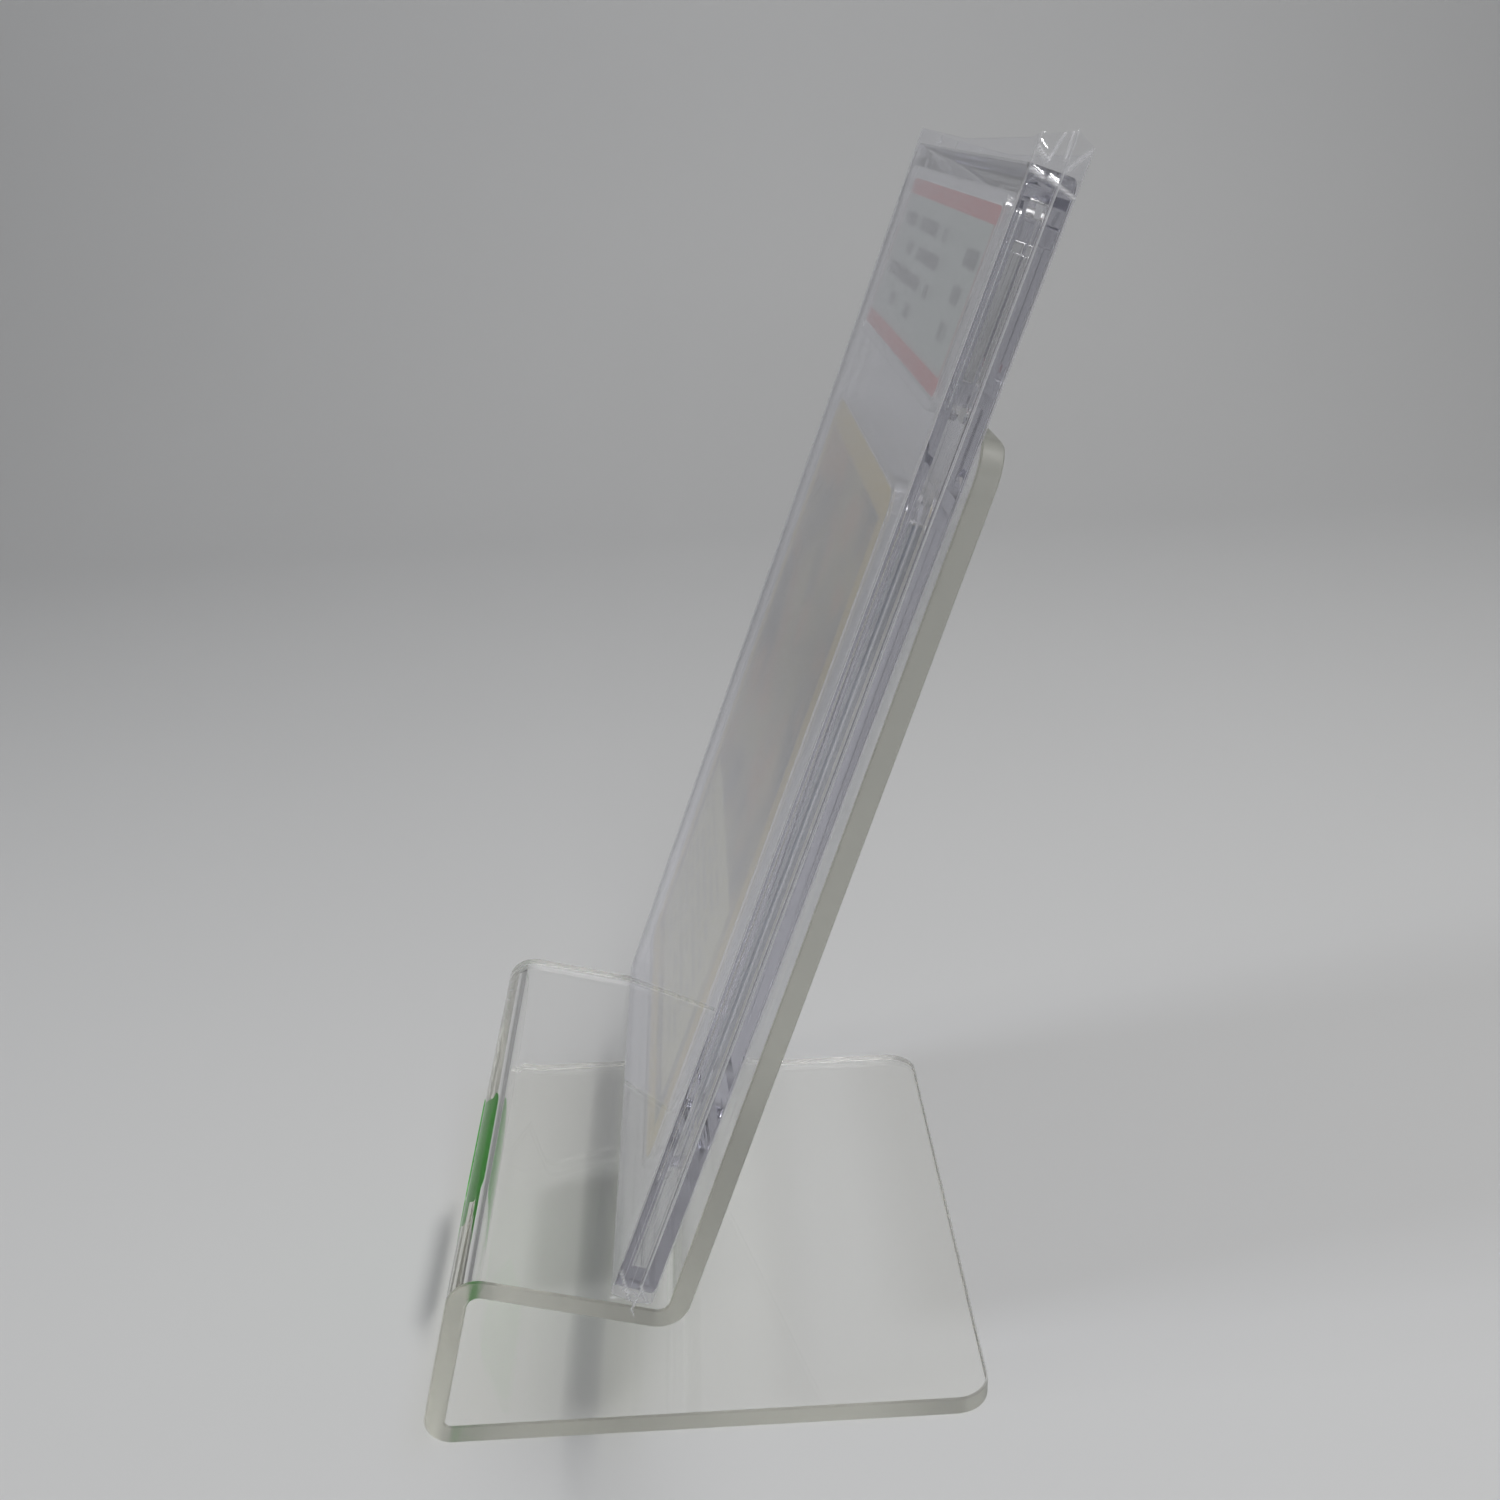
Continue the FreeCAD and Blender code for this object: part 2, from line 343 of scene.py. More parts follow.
def glossy_print(tree, colour, roughness, coat, grain_height):
    """A printed surface: colour, fine grain and a clear varnish."""
    shader = node(
        tree,
        "BsdfPrincipled",
        {
            "Base Color": colour,
            "Roughness": roughness,
            "Coat Weight": coat,
            "Coat Roughness": 0.12,
            "Normal": bump_of(tree, grain_height, 0.1, 0.00005),
        },
    )
    node(tree, "OutputMaterial", {"Surface": shader.outputs[0]})


def vinyl_material():
    material = new_material("green_vinyl")
    tree = material.node_tree
    where = place_of(tree)
    mottle = noise_of(tree, where, 900, 4.0)
    colour = mixed(tree, between(tree, mottle, 0.3, 0.7), (0.035, 0.38, 0.022), (0.065, 0.52, 0.038))
    glossy_print(tree, colour, 0.35, 0.6, noise_of(tree, where, 2500))
    return material


def uv_parts(tree):
    """(u, v) across and up a printed face, each from 0 to 1."""
    split = node(tree, "SeparateXYZ", {0: node(tree, "TexCoord").outputs["UV"]})
    return split.outputs[0], split.outputs[1]


def band(tree, value, low, high, soft):
    """1 where value lies between low and high, with soft edges."""
    rise = between(tree, value, low - soft, low + soft)
    fall = between(tree, value, high - soft, high + soft, 1.0, 0.0)
    return maths(tree, "MULTIPLY", rise, fall)


def block(tree, u, v, left, right, low, high, soft=0.002):
    return maths(tree, "MULTIPLY", band(tree, u, left, right, soft), band(tree, v, low, high, soft))


def bars(tree, u, v, rows, words, seed):
    """Rows of plain grey bars of uneven length, like print too small to read."""
    row = maths(tree, "FLOOR", maths(tree, "MULTIPLY", v, rows))
    within = maths(tree, "FRACT", maths(tree, "MULTIPLY", v, rows))
    line = band(tree, within, 0.25, 0.75, 0.06)
    along = node(tree, "CombineXYZ", {0: maths(tree, "MULTIPLY", u, words), 1: row, 2: seed})
    inked = node(tree, "TexWhiteNoise", {"Vector": floor_of(tree, along.outputs[0])}).outputs["Value"]
    return maths(tree, "MULTIPLY", line, between(tree, inked, 0.25, 0.3))


def floor_of(tree, vector):
    return node(tree, "VectorMath", {0: vector}, operation="FLOOR").outputs[0]


def any_of(tree, *masks):
    total = masks[0]
    for mask in masks[1:]:
        total = maths(tree, "MAXIMUM", total, mask)
    return total


def title_print():
    """The strip above the card: a pale field, two red bands, a pink end line and rows of plain bars."""
    material = new_material("title_print")
    tree = material.node_tree
    u, v = uv_parts(tree)
    where = place_of(tree)
    field = mixed(tree, noise_of(tree, where, 300), (0.62, 0.72, 0.63), (0.70, 0.79, 0.70))
    long_rows = bars(tree, u, v, 6, 14, 1.0)
    long_rows = maths(tree, "MULTIPLY", long_rows, block(tree, u, v, 0.06, 0.62, 0.18, 0.82))
    short_rows = bars(tree, u, v, 5, 25, 2.0)
    short_rows = maths(tree, "MULTIPLY", short_rows, block(tree, u, v, 0.84, 0.96, 0.16, 0.84))
    inked = mixed(tree, any_of(tree, long_rows, short_rows), field, (0.03, 0.04, 0.05))
    red = any_of(tree, band(tree, v, -1, 0.10, 0.004), band(tree, v, 0.90, 2, 0.004))
    with_red = mixed(tree, red, inked, (0.78, 0.03, 0.03))
    end_line = any_of(tree, band(tree, u, 0.985, 2, 0.002), band(tree, u, -1, 0.015, 0.002))
    colour = mixed(tree, maths(tree, "MULTIPLY", end_line, 0.5), with_red, (0.78, 0.03, 0.03))
    glossy_print(tree, colour, 0.4, 0.3, noise_of(tree, where, 3000))
    return material


def card_print():
    """The card's face: an ochre border, a soft abstract picture and a pale panel with plain bars."""
    material = new_material("card_print")
    tree = material.node_tree
    u, v = uv_parts(tree)
    where = place_of(tree)
    cloud = noise_of(tree, where, 45, 4.0)
    stain = noise_of(tree, place_of(tree, (1, 1, 1), (0.4, 0.9, 0.2)), 90, 3.0)
    scene = mixed(tree, between(tree, cloud, 0.40, 0.60), (0.04, 0.045, 0.04), (0.55, 0.48, 0.20))
    scene = mixed(tree, between(tree, stain, 0.52, 0.66), scene, (0.60, 0.34, 0.12))
    panel = block(tree, u, v, 0.10, 0.90, 0.07, 0.38)
    ink = maths(tree, "MULTIPLY", bars(tree, u, v, 34, 22, 3.0), block(tree, u, v, 0.14, 0.82, 0.1, 0.34))
    page = mixed(tree, maths(tree, "MULTIPLY", ink, 0.5), (0.94, 0.90, 0.50), (0.2, 0.2, 0.2))
    picture = mixed(tree, panel, scene, page)
    inside = block(tree, u, v, 0.055, 0.945, 0.04, 0.96)
    fleck = noise_of(tree, where, 260)
    border = mixed(tree, fleck, (0.84, 0.62, 0.11), (0.92, 0.72, 0.17))
    glossy_print(tree, mixed(tree, inside, border, picture), 0.4, 0.4, noise_of(tree, where, 3000))
    return material


def card_back():
    """A plain lattice in two muted blues inside a pale border."""
    material = new_material("card_back")
    tree = material.node_tree
    u, v = uv_parts(tree)
    where = place_of(tree)
    turned = place_of(tree, (9, 12.6, 1), (0, 0, math.radians(45)), "UV")
    lattice = node(tree, "TexChecker", {"Vector": turned, "Scale": 1.0}).outputs["Fac"]
    tone = mixed(tree, noise_of(tree, where, 300), (0.05, 0.09, 0.17), (0.07, 0.12, 0.21))
    field = mixed(tree, maths(tree, "MULTIPLY", lattice, 0.35), tone, (0.18, 0.27, 0.40))
    inside = block(tree, u, v, 0.055, 0.945, 0.04, 0.96)
    colour = mixed(tree, inside, (0.62, 0.60, 0.52), field)
    glossy_print(tree, colour, 0.4, 0.4, noise_of(tree, where, 3000))
    return material


def paper_stock(name, low, high):
    """Bare paper or board: fine fibres, seen at cut edges and on plain backs."""
    material = new_material(name)
    tree = material.node_tree
    fibres = noise_of(tree, place_of(tree, (800, 800, 2400)), 1.0, 4.0)
    colour = mixed(tree, fibres, low, high)
    glossy_print(tree, colour, 0.75, 0.0, fibres)
    return material


def film_material():
    """Thin clear film: nothing bends through it, and it mirrors more at a glancing angle. On its folds it
    turns milky white, partly as folded film whitens and partly as a painted highlight.
    """
    material = new_material("film")
    tree = material.node_tree
    where = place_of(tree)
    facing = node(tree, "LayerWeight", {"Blend": 0.5}).outputs["Facing"]
    steep = maths(tree, "POWER", facing, 5.0)
    mirror = maths(tree, "MULTIPLY_ADD", steep, 0.45, 0.025)
    crinkle = noise_of(tree, place_of(tree, (1, 0.35, 0.35)), 260, 4.0)
    haze = between(tree, noise_of(tree, where, 35), 0.35, 0.75, 0.05, 0.14)
    gloss = node(
        tree,
        "BsdfGlossy",
        {
            "Color": (0.97, 0.97, 1, 1),
            "Roughness": haze,
            "Normal": bump_of(tree, crinkle, 0.04, 0.0002),
        },
    )
    clear = node(tree, "BsdfTransparent", {"Color": (0.985, 0.985, 0.99, 1)})
    film = node(tree, "MixShader", {0: mirror, 1: clear.outputs[0], 2: gloss.outputs[0]})
    # Lit milky white where the attribute read below is set: partly the whitening of sharply folded film,
    # partly a painted highlight standing in for glints on folds, seams and edges.
    lit = node(tree, "BsdfDiffuse", {"Color": (0.95, 0.95, 0.97, 1)})
    glow = node(tree, "BsdfTranslucent", {"Color": (0.95, 0.95, 0.97, 1)})
    white_and_painted_glint = node(tree, "MixShader", {0: 0.5, 1: lit.outputs[0], 2: glow.outputs[0]})
    crease_white_and_glint = node(tree, "Attribute", attribute_name="crease_white_and_glint").outputs["Fac"]
    surface = node(tree, "MixShader", {0: crease_white_and_glint, 1: film.outputs[0], 2: white_and_painted_glint.outputs[0]})
    node(tree, "OutputMaterial", {"Surface": surface.outputs[0]})
    return material


def backdrop_material():
    material = new_material("backdrop")
    tree = material.node_tree
    tooth = noise_of(tree, place_of(tree), 900, 4.0)
    tone = noise_of(tree, place_of(tree), 6, 2.0)
    colour = mixed(tree, tone, (0.72, 0.725, 0.735), (0.75, 0.755, 0.765))
    glossy_print(tree, colour, 0.7, 0.0, tooth)
    return material


# ---------------------------------------------------------------- stand


def sheet_outline(sheet, inset):
    """Rows of the sheet's outline, moved in by inset: (distance, half width, corner angle or None)."""
    radius = SHEET_CORNER_R - inset
    straight_half = SHEET_WIDTH / 2 - SHEET_CORNER_R
    turns = [math.radians(a) for a in range(0, 90, 10)]
    head = [
        (SHEET_CORNER_R - radius * math.cos(a), straight_half + radius * math.sin(a)) for a in turns
    ]
    body = [(s, SHEET_WIDTH / 2 - inset) for s in sheet.stations()]
    tail = [(sheet.length - s, half) for s, half in reversed(head)]
    return head + body + tail


def build_sheet(material):
    sheet = Sheet()
    columns = [-1, -0.985] + [t / 14 for t in range(-13, 14)] + [0.985, 1]
    inner = sheet_outline(sheet, SHEET_CHAMFER)
    outer = sheet_outline(sheet, 0.0)
    points = []

    def wave(distance, x):
        """Slight hollows that heating leaves in the bent part. The base stays flat."""
        off_base = min(max((distance - RUNS[0]) / HOLLOW_ONSET, 0.0), 1.0)
        return HOLLOW_DEPTH * off_base * ripple(distance, x, 3.1, HOLLOW_SIZE)

    def grid(outline, depth):
        """Point numbers of a whole face, row by row."""
        rows = []
        for distance, half in outline:
            row = []
            for t in columns:
                row.append(len(points))
                x = half * t
                points.append(sheet.place(distance, x, depth + wave(distance, x)))
            rows.append(row)
        return rows

    def rim_of(rows):
        last = len(rows) - 1
        right = [rows[i][-1] for i in range(1, last)]
        left = [rows[i][0] for i in range(last - 1, 0, -1)]
        return rows[0] + right + rows[last][::-1] + left

    def rim(depth):
        """Point numbers of the full outline at this depth, in the order of rim_of."""
        last = len(outer) - 1
        spots = [(0, t) for t in columns] + [(i, 1) for i in range(1, last)]
        spots += [(last, t) for t in reversed(columns)] + [(i, -1) for i in range(last - 1, 0, -1)]
        first = len(points)
        for row, t in spots:
            distance, half = outer[row]
            points.append(sheet.place(distance, half * t, depth + wave(distance, half * t)))
        return list(range(first, len(points)))

    under = grid(inner, 0.0)
    over = grid(inner, SHEET_T)
    faces = []
    for rows in (under, over):
        for a, b in zip(rows, rows[1:]):
            faces += [(a[j], a[j + 1], b[j + 1], b[j]) for j in range(len(columns) - 1)]
    flat_faces = len(faces)
    edge_depths = (SHEET_CHAMFER, SHEET_T / 2, SHEET_T - SHEET_CHAMFER)
    rings = [rim_of(under)] + [rim(depth) for depth in edge_depths] + [rim_of(over)]
    for a, b in zip(rings, rings[1:]):
        faces += bridge(a, b)
    obj = mesh_object("acrylic_sheet", points, faces, [material])
    cut = obj.data.attributes.new("cut_edge", "FLOAT", "FACE")
    cut.data.foreach_set("value", [float(i >= flat_faces) for i in range(len(faces))])
    return add_piece(obj, "stand", "acrylic", "stand_sheet")


def rounded_outline(width, low, high, corner, step=10):
    """Corner-rounded rectangle, anticlockwise from its right side's low end."""
    points = []
    centres = [
        (width / 2 - corner, low + corner, -90),
        (width / 2 - corner, high - corner, 0),
        (-width / 2 + corner, high - corner, 90),
        (-width / 2 + corner, low + corner, 180),
    ]
    for x, y, first in centres:
        for angle in range(first, first + 91, step):
            turn = math.radians(angle)
            points.append((x + corner * math.cos(turn), y + corner * math.sin(turn)))
    return points


def flat_piece(name, shape, place, materials, edge_round=0.04):
    """A thin rounded plate with printed front, printed back and plain edge.
    shape: width, low, high, front, back, corner. place turns (u, depth, v) into row-frame mm."""
    width, low, high, corner = shape["width"], shape["low"], shape["high"], shape["corner"]
    front, back = shape["front"], shape["back"]
    full = rounded_outline(width, low, high, corner)
    inset = edge_round
    small = rounded_outline(width - 2 * inset, low + inset, high - inset, corner - inset)
    layers = [(small, front), (full, front + edge_round), (full, back - edge_round), (small, back)]
    points = []
    rings = []
    flat = []
    for outline, depth in layers:
        rings.append(list(range(len(points), len(points) + len(outline))))
        points += [place(u, depth, v) for u, v in outline]
        flat += outline
    faces = [tuple(rings[0]), tuple(rings[-1])]
    for a, b in zip(rings, rings[1:]):
        faces += bridge(a, b)
    slots = [0, 1] + [2] * (len(faces) - 2)
    obj = mesh_object(name, points, faces, materials, slots)
    layer = obj.data.uv_layers.new(name="print")
    for loop in obj.data.loops:
        u, v = flat[loop.vertex_index]
        layer.data[loop.index].uv = (u / width + 0.5, (v - low) / (high - low))
    return obj


def build_front_label(material):
    low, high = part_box("front_label")
    sheet = Sheet()
    riser = sheet.runs[2]
    to_corner = BEND_RADII[0] * math.tan(math.radians(HEADINGS[0] - HEADINGS[1]) / 2)
    start = riser.start - to_corner
    mid_x = (low.x + high.x) / 2 / MM
    shape = dict(
        width=LABEL_WIDTH,
        low=LABEL_UP - LABEL_HEIGHT / 2,
        high=LABEL_UP + LABEL_HEIGHT / 2,
        front=LABEL_DEPTHS[0],
        back=LABEL_DEPTHS[1],
        corner=LABEL_CORNER_R,
    )

    def on_riser(u, depth, v):
        return sheet.place(start + v, mid_x + u, depth)

    obj = flat_piece("riser_label", shape, on_riser, [material] * 3, LABEL_EDGE_ROUND)
    return add_piece(obj, "stand", "green_vinyl", "front_label")


# ---------------------------------------------------------------- case


def build_case_shell(node_name, name, material, to_row, side):
    """A shell of the case, from a copy of the CAD's shape: one flat face per flat side, a hairline
    of air at the weld, and a small bevel on its outer edges. The bevels and the faces across the
    case, at the ends of its pocket and rails, are a little dull. side is -1 in front, 1 at the back."""
    source = frame["nodes"][node_name]
    mesh = source.data.copy()
    work = bmesh.new()
    work.from_mesh(mesh)
    bmesh.ops.remove_doubles(work, verts=work.verts, dist=2e-6)
    bmesh.ops.dissolve_limit(work, angle_limit=math.radians(1), verts=work.verts, edges=work.edges)
    cut = work.faces.layers.float.new("cut_edge")
    to_case = to_row.inverted()

    def local(vert):
        return to_case @ (vert.co / MM)

    shift = (to_row.to_3x3() @ Vector((0, side * WELD_GAP, 0))) * MM
    at_weld = [v for v in work.verts if abs(local(v).y - WELD_W) < 0.01]
    for vert in at_weld:
        vert.co += shift
    sharp = []
    for edge in work.edges:
        if all(is_outside(local(v)) for v in edge.verts) and edge.calc_face_angle(0) > math.radians(40):
            sharp.append(edge)
    made = bmesh.ops.bevel(
        work,
        geom=sharp,
        offset=CASE_BEVEL * MM,
        offset_type="OFFSET",
        segments=2,
        profile=0.5,
        affect="EDGES",
        clamp_overlap=True,
    )
    for face in work.faces:
        middle = to_case @ (face.calc_center_median() / MM)
        along = abs((to_case.to_3x3() @ face.normal).normalized().z)
        if along > 0.7 and CASE_END_DEPTH < middle.z < CASE_LENGTH - CASE_END_DEPTH:
            face[cut] = 1.0
    for face in made["faces"]:
        width = face.calc_area() / max(edge.calc_length() for edge in face.edges)
        if width < DULL_FACE_WIDTH * MM:
            face[cut] = 1.0
    bmesh.ops.recalc_face_normals(work, faces=work.faces)
    work.to_mesh(mesh)
    work.free()
    mesh.materials.clear()
    mesh.materials.append(material)
    mesh.shade_smooth()
    mesh.set_sharp_from_angle(angle=math.radians(35))
    obj = bpy.data.objects.new(name, mesh)
    bpy.context.scene.collection.objects.link(obj)
    weigh = obj.modifiers.new("flat_faces_stay_flat", "WEIGHTED_NORMAL")
    weigh.keep_sharp = True
    weigh.weight = 100
    return add_piece(obj, "case", "case_plastic", node_name)


def is_outside(local):
    """True for a point on the case's outer outline, the grip channels included."""
    from_side = CASE_WIDTH / 2 - abs(local.x)
    from_end = min(local.z, CASE_LENGTH - local.z)
    at_corner = from_side < CORNER_REACH and from_end < CORNER_REACH
    return from_side < SIDE_BAND or from_end < 0.05 or at_corner


# ---------------------------------------------------------------- film bag


def near_line(p, a, b):
    """Distance from p to the line from a to b, all (x, y)."""
    p, a, b = Vector(p), Vector(a), Vector(b)
    run = b - a
    t = min(max((p - a).dot(run) / run.dot(run), 0.0), 1.0)
    return (p - a - run * t).length


# Ridges in the film at the bag's right and left sides, as (w, v) ends, height and width. Their tops are
# painted milky white, partly as folded film whitens and partly as a painted highlight for the glints on
# them.
RIDGES = {
    1.0: (
        ((-0.4, 138.3), (1.3, 136.9), 0.42, 0.22),
        ((1.3, 136.9), (1.9, 139.2), 0.38, 0.20),
        ((2.6, 139.6), (2.75, 137.2), 0.30, 0.18),
        ((3.4, 136.6), (5.0, 138.8), 0.34, 0.22),
        ((0.2, 3.4), (2.4, -0.3), 0.24, 0.20),
        ((2.9, 2.6), (4.6, -0.3), 0.22, 0.20),
        ((1.2, 1.0), (3.9, 0.9), 0.16, 0.18),
        ((0.1, 135.9), (1.5, 135.5), 0.06, 0.26),
        ((1.9, 135.6), (5.1, 134.7), 0.06, 0.26),
    ),
    -1.0: (((2.5, 138.1), (3.1, 138.6), 0.2, 0.2),),
}

# Depths of thin lines painted milky white down the bag's sides, a painted highlight for the glints along
# the edges of the grip channel, and the heights they run between
PAINTED_GLINT_LINES = (0.8, 1.9)
PAINTED_GLINT_ENDS = (2.0, 105.0)


def side_panel(w):
    """How far out the bag's side stands at this depth: straight from each corner to the seam."""
    corner = CASE_WIDTH / 2 + FILM_GAP
    front, back = -FILM_GAP, CASE_T + FILM_GAP
    if w < WELD_W:
        return corner + (SEAM_U - corner) * (w - front) / (WELD_W - front)
    return corner + (SEAM_U - corner) * (back - w) / (back - WELD_W)


def bag_loop():
    """The bag's cross-section, anticlockwise from the left: (u, w, side). side is 1 on the right
    panels, -1 on the left ones and 0 at the front and back."""
    front, back = -FILM_GAP, CASE_T + FILM_GAP
    right_half = [CASE_WIDTH / 2 - x for x in (0.02, 0.16, 0.5, 1.6, 3.2)]
    across = [-u for u in right_half] + [0.0] + right_half[::-1]
    lines = [w + shift for w in PAINTED_GLINT_LINES for shift in (-0.05, 0.0, 0.05)]
    plain = [front + 0.07, front + 0.2] + spread(front + 0.4, WELD_W - 0.12, 0.17)
    down = sorted(lines + [w for w in plain if all(abs(w - line) > 0.1 for line in PAINTED_GLINT_LINES)])
    up = spread(WELD_W + 0.06, back - 0.4, 0.17) + [back - 0.2, back - 0.07]
    right = [(side_panel(w), w, 1.0) for w in down + [WELD_W] + up]
    loop = [(u, front, 0.0) for u in across] + right
    loop += [(-u, back, 0.0) for u in across]
    loop += [(-u, w, -1.0) for u, w, side in reversed(right)]
    return loop


def ridges_at(side, w, v):
    """The creases' height here, and the share of milky white on them from 0 to 1: partly the whitening of
    sharply folded film, partly painted highlight.
    """
    height = 0.0
    white_and_glint_share = 0.0
    for start, end, tall, width in RIDGES[side]:
        if abs(v - start[1]) < 6:
            share = math.exp(-((near_line((w, v), start, end) / width) ** 2))
            height += tall * share
            white_and_glint_share = max(white_and_glint_share, share**3)
    return height, white_and_glint_share


def bag_point(u, w, side, v, sheet_side):
    """A place on the bag after its slack, creases and flared mouth, and the share of milky white there:
    partly fold whitening, partly painted highlight.
    """
    loose = min(max((v - SLACK_FROM) / SLACK_RISE, 0.0), 1.0)
    if side == 0.0:
        slack = 0.05 * (0.5 + ripple(u, v * 0.35, 7.7, 9.0))
        middle = 1.0 - (abs(u) / (CASE_WIDTH / 2)) ** 6
        w += sheet_side * (slack + loose * middle * (0.12 + 0.3 * ripple(u, v, 2.4, 9.0)))
        far = min(max(-u / (CASE_WIDTH / 2), 0.0), 1.0) ** 2
        v += loose * (0.3 * ripple(u, sheet_side, 5.5, 14.0) - 1.5 * middle - 0.9 * far * (1 - middle))
        # At the case's side corners the film is painted milky white: partly fold whitening, partly
        # painted highlight along the corners.
        at_corner = abs(u) > CASE_WIDTH / 2 - 0.1
        return (u, w, v), 0.3 if at_corner else 0.0
    low = min(max((2.5 - v) / 2.5, 0.0), 1.0)
    tall, white_and_glint_share = ridges_at(side, w, v)
    out = 0.02 * ripple(w, v * 0.5, 9.1, 9.0) + 0.22 * low * ripple(w * 3, v * 3, 6.3, 2.2) + tall
    edge = max(1.0 - abs(w - WELD_W) / (CASE_T / 2), 0.0)
    # The seam and the bag's front and back corners are painted milky white: partly fold whitening, partly
    # painted highlight.
    if abs(w - WELD_W) < 0.01:
        white_and_glint_share = max(white_and_glint_share, 0.6)
    if w < -FILM_GAP + 0.1 or w > CASE_T + FILM_GAP - 0.1:
        white_and_glint_share = max(white_and_glint_share, 0.3)
    # Painted highlight: thin milky white lines standing in for the glints along the grip channel's edges.
    on_line = any(abs(w - line) < 0.01 for line in PAINTED_GLINT_LINES)
    if on_line and PAINTED_GLINT_ENDS[0] < v < PAINTED_GLINT_ENDS[1]:
        white_and_glint_share = max(white_and_glint_share, 0.4)
    lift = 1.1 * edge if side > 0 else -0.9
    return (side * (abs(u) + max(out, -0.04)), w, v + loose * lift), white_and_glint_share


# Stores where the film is painted milky white: partly fold whitening, partly painted highlight.
def store_white_and_glint(obj, white_and_glint_shares):
    layer = obj.data.attributes.new("crease_white_and_glint", "FLOAT", "POINT")
    layer.data.foreach_set("value", white_and_glint_shares)


def build_bag(material, to_row):
    loop = bag_loop()
    levels = [0.0] + spread(0.35, 4.5, 0.35) + spread(6.0, 132.0, 2.2) + spread(133.5, MOUTH_V, 0.2)
    points = []
    white_and_glint_shares = []
    rings = []
    for share, v in ((0.03, BAG_LOW), (0.55, BAG_LOW), (0.93, BAG_LOW + 0.06)):
        rings.append(range(len(points), len(points) + len(loop)))
        for u, w, side in loop:
            pinched = WELD_W + (w - WELD_W) * share
            points.append(to_row @ Vector((u, pinched, v)))
            # The bottom fold is painted milky white, partly fold whitening and partly painted highlight.
            white_and_glint_shares.append(0.3)
    for v in levels:
        rings.append(range(len(points), len(points) + len(loop)))
        for u, w, side in loop:
            sheet_side = -1.0 if w < WELD_W else 1.0
            spot, white_and_glint_share = bag_point(u, w, side, v, sheet_side)
            points.append(to_row @ Vector(spot))
            white_and_glint_shares.append(white_and_glint_share)
    faces = []
    for a, b in zip(rings, rings[1:]):
        faces += bridge(a, b)
    faces += close_pinch(loop, rings[0])
    obj = mesh_object("film_bag", points, faces, [material], smooth=50.0)
    store_white_and_glint(obj, white_and_glint_shares)
    thick = obj.modifiers.new("film_thickness", "SOLIDIFY")
    thick.thickness = FILM_T * MM
    thick.offset = -1.0
    return add_piece(obj, "bag", "film", "sleeve")


def close_pinch(loop, ring):
    """Quads that close the pinched end: each front point is joined to its twin at the back."""
    seam = [i for i, p in enumerate(loop) if abs(p[1] - WELD_W) < 0.01]
    right, left = sorted(seam, key=lambda i: -loop[i][0])
    count = len(loop)
    fronts = [(right - k) % count for k in range(1, count // 2)]
    backs = [(right + k) % count for k in range(1, count // 2)]
    faces = [(ring[right], ring[fronts[0]], ring[backs[0]])]
    for a, b, c, d in zip(fronts, fronts[1:], backs[1:], backs):
        faces.append((ring[a], ring[b], ring[c], ring[d]))
    faces.append((ring[fronts[-1]], ring[left], ring[backs[-1]]))
    return faces


def build_fin(material, to_row, side, name):
    """One side seam: two layers welded flat, cut a little unevenly, with a loose bottom corner. Its outer
    edge and crumpled corner are painted milky white, partly as whitened film and partly as painted
    glints.
    """
    top = MOUTH_V + (1.3 if side > 0 else -0.8)
    levels = spread(-1.7, 4.0, 0.2) + spread(4.8, 133.0, 0.8) + spread(133.4, top, 0.25)
    shares = (0.0, 0.12, 0.5, 0.88, 1.0)
    points = []
    white_and_glint_shares = []
    rings = []
    half = FILM_T * 1.2
    for v in levels:
        ear = min(max((2.0 - v) / 2.5, 0.0), 1.0)
        tip = min(max((v - 137.5) / 3.0, 0.0), 1.0)
        width = FIN_WIDTH + 0.06 * ripple(v, side, 4.4, 3.0) - 0.35 * tip
        sway = 0.10 * ripple(v, side, 8.8, 12.0) + 1.3 * ear * ripple(v, side * 3, 2.9, 0.8)
        sway += 0.25 * tip * ripple(v, side, 1.9, 1.3)
        inner = SEAM_U - 0.09 - 0.9 * max(0.0, -v - 0.3)
        width += 0.9 * max(0.0, -v - 0.3)
        ring = [(inner + width * share, WELD_W + sway * share - half) for share in shares]
        ring += [(inner + width * share, WELD_W + sway * share + half) for share in reversed(shares)]
        rings.append(range(len(points), len(points) + len(ring)))
        points += [to_row @ Vector((side * u, w, v)) for u, w in ring]
        # The seam's outer edge and the crumpled ear are painted milky white: partly whitened film, partly
        # painted glints.
        ear_crumple_and_glint = ear * max(0.0, ripple(v, side, 7.1, 0.5)) * 1.6
        edge_white_and_glint = [0.0, 0.1, 0.05, 0.2, 0.6]
        white_and_glint_shares += [min(f + ear_crumple_and_glint, 1.0) for f in edge_white_and_glint + edge_white_and_glint[::-1]]
    faces = [tuple(rings[0]), tuple(rings[-1])]
    for a, b in zip(rings, rings[1:]):
        faces += bridge(a, b)
    obj = mesh_object(name, points, faces, [material], smooth=40.0)
    store_white_and_glint(obj, white_and_glint_shares)
    return add_piece(obj, "bag", "film")


# ---------------------------------------------------------------- stage, camera and lights


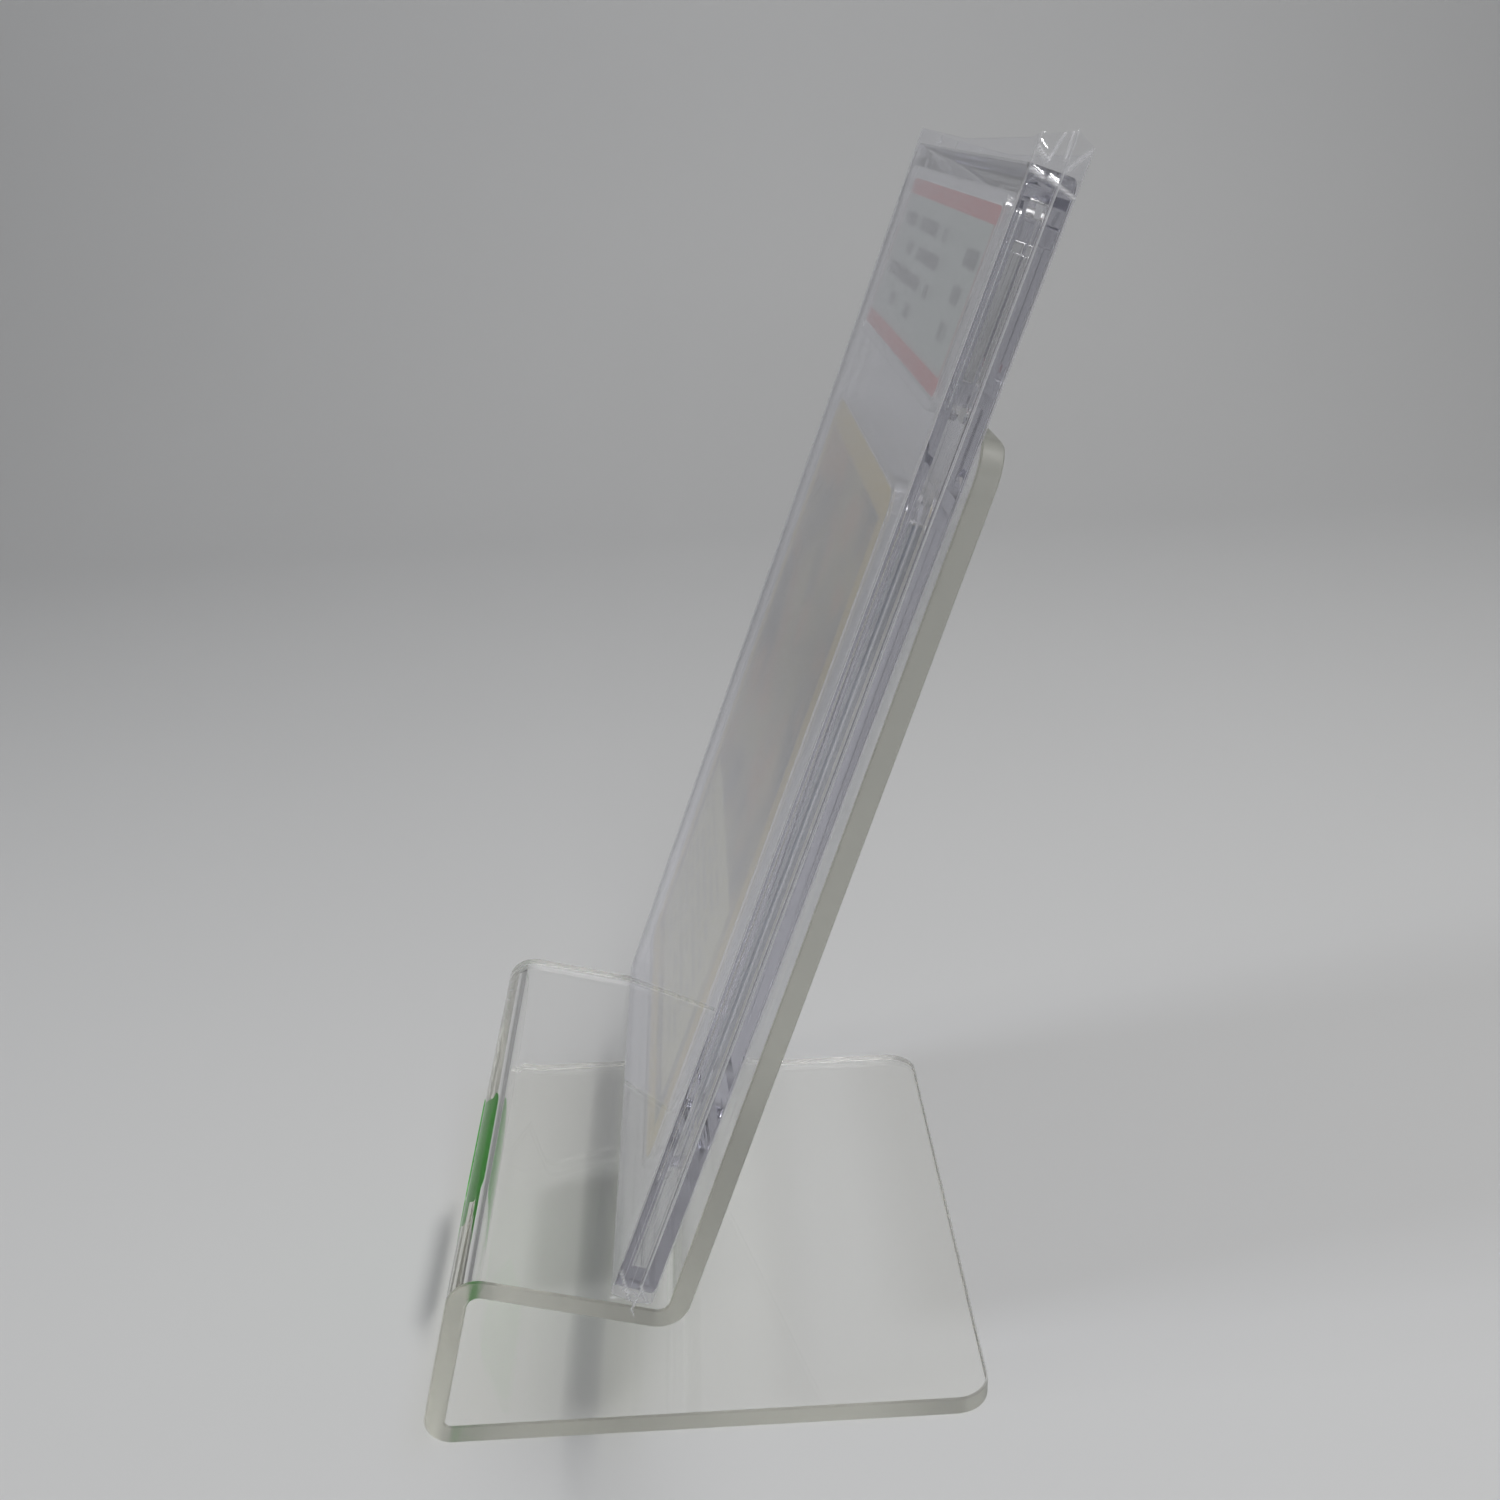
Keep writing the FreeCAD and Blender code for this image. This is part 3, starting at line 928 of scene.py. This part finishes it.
def build_backdrop(material):
    """A wide sheet of pale paper: flat under the stand, then swept up behind it."""
    flat_end, flat_start = -420.0, 1200.0
    radius, height, half_width = 180.0, 900.0, 1200.0
    below_stand = 0.3
    profile = [(x, 0.0) for x in reversed(spread(flat_end, flat_start, 60.0))]
    for angle in range(5, 91, 5):
        turn = math.radians(angle)
        profile.append((flat_end - radius * math.sin(turn), radius * (1 - math.cos(turn))))
    profile.append((flat_end - radius, height))
    ys = spread(-half_width, half_width, 150.0)
    points = [(x, y, z - below_stand) for x, z in profile for y in ys]
    faces = []
    for i in range(len(profile) - 1):
        for j in range(len(ys) - 1):
            a = i * len(ys) + j
            faces.append((a, a + 1, a + len(ys) + 1, a + len(ys)))
    obj = mesh_object("backdrop", points, faces, [material], outward=False)


def add_camera():
    """A camera at the stand's right side, looking down on it a little."""
    place = (0.20513, 0.00516, 0.15542)
    yaw, down, roll = math.radians(1.27), math.radians(21.31), -0.0401
    ahead = math.cos(down)
    forward = Vector((-math.cos(yaw) * ahead, math.sin(yaw) * ahead, -math.sin(down)))
    level = forward.cross(Vector((0, 0, 1))).normalized()
    up = level.cross(forward)
    right = level * math.cos(roll) + up * math.sin(roll)
    top = -level * math.sin(roll) + up * math.cos(roll)
    data = bpy.data.cameras.new("camera")
    data.lens = 40.02
    data.sensor_width = 36.0
    data.clip_start = 0.005
    camera = bpy.data.objects.new("camera", data)
    turn = Matrix((right, top, -forward)).transposed().to_4x4()
    camera.matrix_world = Matrix.Translation(place) @ turn
    bpy.context.scene.collection.objects.link(camera)
    bpy.context.scene.camera = camera


def add_softbox(name, at, aim, size, power, colour):
    data = bpy.data.lights.new(name, "AREA")
    data.shape = "RECTANGLE"
    data.size, data.size_y = size
    data.energy = power
    data.color = colour
    lamp = bpy.data.objects.new(name, data)
    way = (Vector(aim) - Vector(at)).normalized()
    lamp.matrix_world = Matrix.Translation(at) @ way.to_track_quat("-Z", "Y").to_matrix().to_4x4()
    bpy.context.scene.collection.objects.link(lamp)
    return lamp


def add_lights():
    """Two lamps overhead, one in front and to the right like a window, and one behind the camera.
    The window is left out of reflections, where it would hide part of the card from the front."""
    middle, foot = (0.0, 0.01, 0.06), (-0.02, 0.03, 0.03)
    warm, cool, white = (1, 0.99, 0.97), (0.96, 0.98, 1), (1, 1, 1)
    add_softbox("overhead_far", (-0.10, 0.243, 0.70), middle, (0.24, 0.08), 1.12, warm)
    add_softbox("overhead_near", (0.10, 0.238, 0.70), middle, (0.24, 0.08), 1.36, warm)
    window = add_softbox("window", (0.113, -0.45, 0.48), foot, (0.1, 0.1), 0.75, cool)
    window.visible_glossy = False
    window.visible_transmission = False
    add_softbox("behind_camera", (0.58, 0.05, 0.26), middle, (0.12, 0.08), 0.92, white)
    add_room()


def add_room():
    """The rest of the room: dim as a source of light, mid-grey where gloss and clear pieces show it."""
    world = bpy.data.worlds.new("room")
    world.use_nodes = True
    tree = world.node_tree
    tree.nodes.clear()
    dim = node(tree, "Background", {"Color": (0.95, 0.97, 1.0, 1), "Strength": 0.03}).outputs[0]
    seen = node(tree, "Background", {"Color": (0.97, 0.98, 1.0, 1), "Strength": 0.27}).outputs[0]
    lit = node(tree, "LightPath").outputs["Is Diffuse Ray"]
    either = node(tree, "MixShader", {0: lit, 1: seen, 2: dim}).outputs[0]
    node(tree, "OutputWorld", {"Surface": either})
    bpy.context.scene.world = world


def set_view():
    """Plain colours, and enough bounces for light to get through every clear layer."""
    scene = bpy.context.scene
    scene.view_settings.view_transform = "Standard"
    scene.cycles.max_bounces = 48
    scene.cycles.transmission_bounces = 32
    scene.cycles.glossy_bounces = 32
    scene.cycles.transparent_max_bounces = 40


# ---------------------------------------------------------------- the whole


def main():
    acrylic = clear_plastic(
        "acrylic",
        absorb=(0.42, 0.42, 0.22),
        density=6.0,
        ior=1.49,
        edge_roughness=0.5,
        smudge=0.02,
        tint=(1.0, 1.0, 0.99),
        relief=0.05,
        glancing=0.0,
    )
    styrene = clear_plastic(
        "case_plastic",
        absorb=(0.565, 0.565, 0.645),
        density=12.0,
        ior=1.57,
        edge_roughness=0.15,
        smudge=0.01,
        tint=(0.99, 0.99, 1.0),
        relief=0.01,
        glancing=0.5,
    )
    film = film_material()
    stock = paper_stock("card_stock", (0.55, 0.54, 0.50), (0.68, 0.67, 0.62))
    label_back = paper_stock("label_stock", (0.60, 0.61, 0.60), (0.72, 0.73, 0.72))
    to_row = case_matrix()

    def in_case(u, w, v):
        return to_row @ Vector((u, w, v))

    build_sheet(acrylic)
    build_front_label(vinyl_material())
    build_case_shell("case_front", "front_shell", styrene, to_row, -1)
    build_case_shell("case_back", "back_shell", styrene, to_row, 1)
    card = flat_piece("printed_card", CARD, in_case, [card_print(), card_back(), stock])
    add_piece(card, "case", "printed_card", "card")
    title = flat_piece("title_strip", TITLE, in_case, [title_print(), label_back, label_back])
    add_piece(title, "case", "label_paper", "title_label")
    build_bag(film, to_row)
    build_fin(film, to_row, 1, "seam_right")
    build_fin(film, to_row, -1, "seam_left")
    build_backdrop(backdrop_material())
    add_camera()
    add_lights()
    set_view()


main()
bpy.context.view_layer.update()
